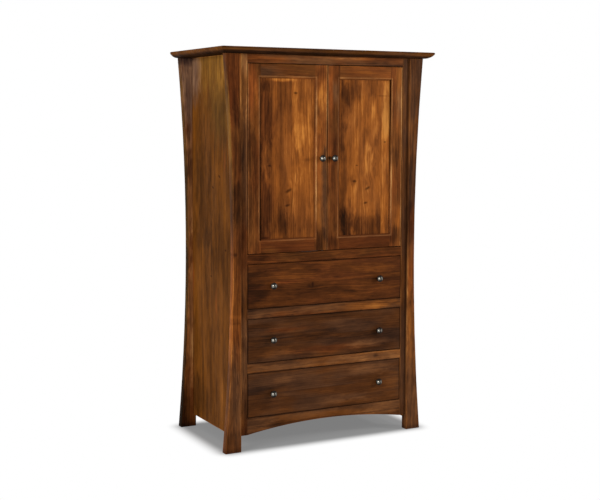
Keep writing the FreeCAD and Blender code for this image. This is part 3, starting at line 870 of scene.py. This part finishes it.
# The low tone and the dark strip next to the post are a painted shadow of the post; the pale left edge
# is a painted highlight.
stained(
    "right_face_frame_stile", UPRIGHT, 0.31, spread=0.6, edge=fine_edge, wear=0.18,
    tints=(MILD, GREYISH),
    marks=(
        # painted shadow of the right front post
        Mark(0.446, 0.900, 0.026, 1.300, -0.16),
        Mark(0.428, 1.540, 0.050, 0.400, 0.16),
        Mark(0.428, 0.700, 0.040, 0.260, 0.12),
        Mark(0.428, 0.320, 0.060, 0.380, 0.05, GREYISH),
    ),
)
for side in ("left", "right"):
    stained(
        side + "_side_panel", UPRIGHT_SIDE, 0.50, boards=Boards(0.128, 0.034), spread=0.75,
        tints=(HONEY, GOLDEN), gloss=0.006,
        marks=(
            Mark(0.000, 1.800, 0.700, 0.230, 0.16, OLIVE),
            Mark(-0.140, 1.760, 0.085, 0.170, 0.26, OLIVE),
            Mark(-0.060, 1.600, 0.200, 0.260, 0.00, OLIVE),
            # painted sheen: a grey-violet reflection
            Mark(0.240, 1.760, 0.100, 0.240, 0.06, VIOLET_SHEEN),
            # painted shadow of the slab's overhang
            Mark(0.270, 1.826, 0.100, 0.026, -0.30),
            Mark(0.140, 1.150, 0.160, 0.420, -0.22),
            Mark(0.200, 0.170, 0.130, 0.170, -0.20),
            Mark(-0.070, 0.910, 0.190, 0.230, -0.16, HONEY),
            Mark(-0.120, 0.220, 0.090, 0.130, 0.12),
            Mark(-0.110, 1.330, 0.016, 0.090, 0.12, ORANGE),
            Mark(-0.010, 0.650, 0.016, 0.110, 0.12, ORANGE),
            Mark(0.272, 0.740, 0.024, 0.120, 0.24, REDDISH),
        ),
        knots=(
            Knot(-0.050, 1.260, 0.014, 0.3),
            Knot(0.025, 1.205, 0.012, 0.3),
            Knot(-0.120, 0.920, 0.012),
            Knot(0.050, 0.780, 0.010),
        ),
    )
# The rails' darker edges are painted shade along the gaps.
frame_rail = {"edge": fine_edge, "wear": -0.10}
stained(
    "face_frame_top_rail", LEVEL_FRONT, 0.53, tints=(WARM, GREYISH), **frame_rail,
    marks=(
        Mark(1.800, -0.360, 0.040, 0.080, 0.08),
        Mark(1.788, 0.300, 0.022, 0.340, -0.24),
        # painted light against the slab's shadow on the top of the rail
        Mark(1.816, 0.110, 0.022, 0.360, 0.22),
    ),
)
stained(
    "face_frame_door_rail", LEVEL_FRONT, 0.44, **frame_rail,
    marks=(
        Mark(0.889, -0.370, 0.040, 0.090, -0.24),
        Mark(0.889, 0.000, 0.040, 0.130, 0.09),
        Mark(0.889, 0.250, 0.040, 0.060, -0.08),
    ),
)
stained(
    "face_frame_upper_drawer_rail", LEVEL_FRONT, 0.43, tints=(WARM, GREYISH), **frame_rail,
    marks=(
        Mark(0.636, 0.300, 0.026, 0.140, 0.18, MILD),
        Mark(0.636, 0.240, 0.050, 0.300, 0.14, MILD),
        Mark(0.636, -0.390, 0.050, 0.050, -0.10),
    ),
)
stained(
    "face_frame_lower_drawer_rail", LEVEL_FRONT, 0.52, tints=(MILD, GREYISH), **frame_rail,
    marks=(
        Mark(0.383, 0.230, 0.040, 0.300, 0.12, GREYISH),
        Mark(0.383, -0.220, 0.040, 0.280, -0.06, GREYISH),
        Mark(0.385, 0.275, 0.020, 0.022, -0.18),
    ),
)
stained(
    "arched_apron", LEVEL_FRONT, 0.42, edge=fine_edge, wear=-0.06, tints=(MILD, GREYISH),
    marks=(
        Mark(0.130, -0.360, 0.060, 0.130, 0.12, GREYISH),
        Mark(0.130, 0.320, 0.060, 0.210, 0.22, GREYISH),
    ),
)
# The lower part of the slab's edge is darkened: painted shade under its nose.
stained(
    "top_slab", LEVEL_FLAT, 0.50, boards=Boards(0.125, -0.311), spread=0.7, tints=(GOLDEN, GREYISH),
    wear=-0.24, pooled=SLAB_UNDERCUT_SHADE, gloss=0.004, roughness=0.58,
)
for board in ("bottom_board", "compartment_floor", "component_shelf"):
    stained(board, LEVEL_FLAT, 0.42, boards=Boards(0.120, -0.236))

# Drawers

# The drawer fronts' darker edges are painted shade along the gaps.
drawer_face = {"wear": -0.14, "gloss": 0.03}
stained(
    "upper_drawer_front", LEVEL_FRONT, 0.35, boards=Boards(0.104, 0.661), spread=0.90,
    tints=(WARM, ORANGE), **drawer_face,
    marks=(
        Mark(0.800, -0.150, 0.018, 0.170, 0.12, ORANGE),
        Mark(0.775, -0.220, 0.010, 0.120, 0.10, REDDISH),
        Mark(0.815, 0.270, 0.034, 0.170, 0.18, ORANGE),
        Mark(0.690, 0.365, 0.030, 0.060, 0.14),
        Mark(0.750, -0.375, 0.120, 0.110, -0.20),
        Mark(0.840, -0.060, 0.024, 0.090, -0.14),
        Mark(0.740, -0.070, 0.035, 0.050, -0.06),
    ),
    knots=(Knot(0.755, -0.075, 0.014),),
)
stained(
    "middle_drawer_front", LEVEL_FRONT, 0.30, boards=Boards(0.104, 0.408), spread=0.68,
    tints=(MILD, GREYISH), **drawer_face,
    marks=(
        Mark(0.550, -0.220, 0.016, 0.180, 0.10, WARM),
        Mark(0.525, -0.050, 0.035, 0.140, -0.12),
        Mark(0.510, -0.370, 0.120, 0.100, -0.08),
        Mark(0.445, 0.050, 0.030, 0.320, 0.10, WARM),
        Mark(0.440, -0.260, 0.028, 0.130, 0.18),
        Mark(0.455, 0.230, 0.032, 0.190, 0.20, GREYISH),
    ),
)
stained(
    "lower_drawer_front", LEVEL_FRONT, 0.345, boards=Boards(0.104, 0.155), spread=0.55,
    tints=(MILD, GREYISH), **drawer_face,
    marks=(
        Mark(0.250, -0.360, 0.110, 0.120, -0.12),
        Mark(0.250, 0.370, 0.100, 0.090, 0.12),
        Mark(0.180, 0.000, 0.022, 0.330, 0.08),
        Mark(0.196, 0.100, 0.030, 0.200, 0.14, GREYISH),
        Mark(0.322, -0.228, 0.028, 0.080, 0.14),
        Mark(0.322, 0.230, 0.040, 0.180, 0.20, GREYISH),
    ),
)

# Wood that isn't stained

bare = {"tints": (PLAIN, FAWN), "wear": -0.06}
for drawer in ("upper", "middle", "lower"):
    name = drawer + "_drawer_"
    for piece, grain in (("sides", FRONT_TO_BACK), ("back", LEVEL_FRONT)):
        wood(name + piece, BARE_WOOD, grain, 0.50, spread=0.7, roughness=0.55, **bare)
        ease_edges(name + piece, board_edge)
    wood(name + "bottom", PLYWOOD, LEVEL_FLAT, 0.60, spread=0.6, roughness=0.60, **bare)
for node in ("drawer_runners", "support_cleats"):
    wood(node, BARE_WOOD, FRONT_TO_BACK, 0.45, spread=0.7, roughness=0.60, **bare)
wood("back_panel", PLYWOOD, UPRIGHT, 0.62, spread=0.7, roughness=0.60, **bare)


# Metal and plastic

def metal(node, shades, patch_scale, roughness, roughness_change):
    """Metal with patches between its shades and an uneven polish."""
    material, graph, shader = new_material(node + "_metal")
    stretch = (patch_scale, patch_scale, patch_scale)
    patch = graph.noise(graph.place(), stretch, detail=4.0, roughness=0.6)
    rough = graph.math("MULTIPLY_ADD", patch, roughness_change, roughness)
    set_surface(graph, shader, graph.ramp(patch, shades), rough, patch, metal_bump)
    shader.inputs["Metallic"].default_value = 1.0
    dress(node, material)
    return graph, shader


def rub_and_highlight_knob(node, graph, shader):
    """Polish a knob on its left and right, where finger and thumb hold it; the polished spots also stand
    in for its two highlights, a painted highlight.
    """
    low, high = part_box(node)
    radius = (high.z - low.z) / 2
    offset = max(abs(low.x), abs(high.x)) - radius

    def beyond(value, shares):
        """A smooth step between two shares of the knob's radius."""
        return graph.fade(value, shares[0] * radius, shares[1] * radius)

    place = graph.parts(graph.place())
    sideways = graph.math("ABSOLUTE", graph.centred(graph.math("ABSOLUTE", place["X"]), offset))
    upward = graph.math("ABSOLUTE", graph.centred(place["Z"], low.z + radius))
    at_height = graph.without(beyond(upward, rub_upward))
    held = graph.math("MULTIPLY", beyond(sideways, rub_sideways), at_height)
    on_crown = graph.without(beyond(sideways, rub_crown))
    patina = shader.inputs["Base Color"].links[0].from_socket
    rubbed = graph.mix(graph.math("MULTIPLY", held, on_crown), patina, RUBBED_HIGHLIGHT_PEWTER)
    graph.feed(shader.inputs["Base Color"], rubbed)


def catch_plastic(node):
    """Brown moulded plastic with a finely pebbled surface."""
    material, graph, shader = new_material("catch_plastic")
    pebble = graph.noise(graph.place(), pebble_stretch, detail=2.0)
    rough = graph.math("MULTIPLY_ADD", pebble, plastic_roughness_change, plastic_roughness)
    set_surface(graph, shader, graph.ramp(pebble, BROWN_PLASTIC), rough, pebble, pebble_bump)
    dress(node, material)


for node in nodes:
    if node.endswith(("knob", "knobs")):
        graph, shader = metal(node, PEWTER, patch_scale=260.0, roughness=0.14, roughness_change=0.10)
        rub_and_highlight_knob(node, graph, shader)
    elif node.endswith("leaves"):
        metal(node, BRONZED, patch_scale=300.0, roughness=0.35, roughness_change=0.20)
    elif node.endswith(("screw", "screws", "plate", "pins")):
        metal(node, ZINC, patch_scale=700.0, roughness=0.24, roughness_change=0.20)
catch_plastic("magnetic_catches")


# Floor, world and lights

def seen_directly(graph):
    """1 for camera, glossy and transmission rays, 0 for the rest."""
    path = graph.add("LightPath").outputs
    seen = graph.math("MAXIMUM", path["Is Camera Ray"], path["Is Glossy Ray"])
    return graph.math("MAXIMUM", seen, path["Is Transmission Ray"])


def white_floor():
    """A pale floor that keeps the shadow between the feet, darkened there with a painted shadow, and
    turns white round it.
    """
    bpy.ops.mesh.primitive_plane_add(size=floor_size)
    floor = bpy.context.object
    floor.name = "floor"
    material, graph, shader = new_material("floor")
    feet_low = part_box("left_front_post")[0]
    feet_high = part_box("right_back_post")[1]
    middle = (feet_low + feet_high) / 2
    core = (feet_high - feet_low) / 2 - Vector((shadow_inset, shadow_inset, 0.0))
    place = graph.vector("SUBTRACT", graph.add("NewGeometry").outputs["Position"], tuple(middle))
    away = graph.vector("SUBTRACT", graph.vector("ABSOLUTE", place), tuple(core))
    outside = graph.vector("LENGTH", graph.vector("MAXIMUM", away, (0.0, 0.0, 0.0)))
    clear = graph.fade(outside, 0.0, shadow_inset + shadow_outset)
    lit = (floor_grey, floor_grey, floor_grey, 1.0)
    shaded = (shaded_floor_grey, shaded_floor_grey, shaded_floor_grey, 1.0)
    graph.feed(shader.inputs["Base Color"], graph.mix(clear, shaded, lit))
    shader.inputs["Roughness"].default_value = floor_roughness
    shader.inputs["Specular IOR Level"].default_value = 0.0
    glow = graph.math("MULTIPLY_ADD", clear, 1.0 - shadow_glow, shadow_glow)
    seen_glow = graph.math("MULTIPLY", glow, seen_directly(graph))
    white = graph.add("Emission", {"Color": WHITE, "Strength": 1.0}).outputs[0]
    output = material.node_tree.nodes["Material Output"]
    graph.feed(output.inputs["Surface"], graph.mix_shaders(seen_glow, shader.outputs[0], white))
    floor.data.materials.append(material)


def white_world():
    """A world that looks white and lights the part evenly."""
    world = bpy.data.worlds.new("white_studio")
    bpy.context.scene.world = world
    world.use_nodes = True
    graph = Graph(world.node_tree)
    ambient = world.node_tree.nodes["Background"]
    ambient.inputs["Color"].default_value = WHITE
    ambient.inputs["Strength"].default_value = ambient_strength
    white = graph.add("Background", {"Color": WHITE, "Strength": 1.0}).outputs[0]
    output = world.node_tree.nodes["World Output"]
    mixed = graph.mix_shaders(seen_directly(graph), ambient.outputs[0], white)
    graph.feed(output.inputs["Surface"], mixed)


def soft_light(name, place, power, size):
    """A square lamp that shines on the part."""
    light = bpy.data.lights.new(name, "AREA")
    light.energy = power
    light.size = size
    lamp = bpy.data.objects.new(name, light)
    lamp.location = place
    lamp.rotation_euler = (light_target - place).to_track_quat("-Z", "Y").to_euler()
    bpy.context.scene.collection.objects.link(lamp)


def photograph_camera():
    """A camera where the photograph was taken from."""
    level = Vector((-math.sin(camera_yaw), math.cos(camera_yaw), 0.0))
    upward = Vector((0.0, 0.0, 1.0))
    ahead = level * math.cos(camera_pitch) + upward * math.sin(camera_pitch)
    side = Vector((math.cos(camera_yaw), math.sin(camera_yaw), 0.0))
    above = side.cross(ahead)
    side_rolled = side * math.cos(camera_roll) + above * math.sin(camera_roll)
    above_rolled = above * math.cos(camera_roll) - side * math.sin(camera_roll)
    data = bpy.data.cameras.new("photograph")
    data.sensor_width = camera_sensor_mm
    data.lens = camera_sensor_mm * focal_length_pixels / image_width_pixels
    data.shift_y = view_shift_pixels / image_width_pixels
    camera = bpy.data.objects.new("photograph", data)
    turn = Matrix((side_rolled, above_rolled, -ahead)).transposed()
    camera.matrix_world = Matrix.Translation(camera_place) @ turn.to_4x4()
    bpy.context.scene.collection.objects.link(camera)
    bpy.context.scene.camera = camera


white_floor()
white_world()
soft_light("key", key_place, key_power, key_size)
soft_light("fill", fill_place, fill_power, fill_size)
soft_light("overhead", overhead_place, overhead_power, overhead_size)
photograph_camera()
bpy.context.scene.view_settings.view_transform = "Standard"
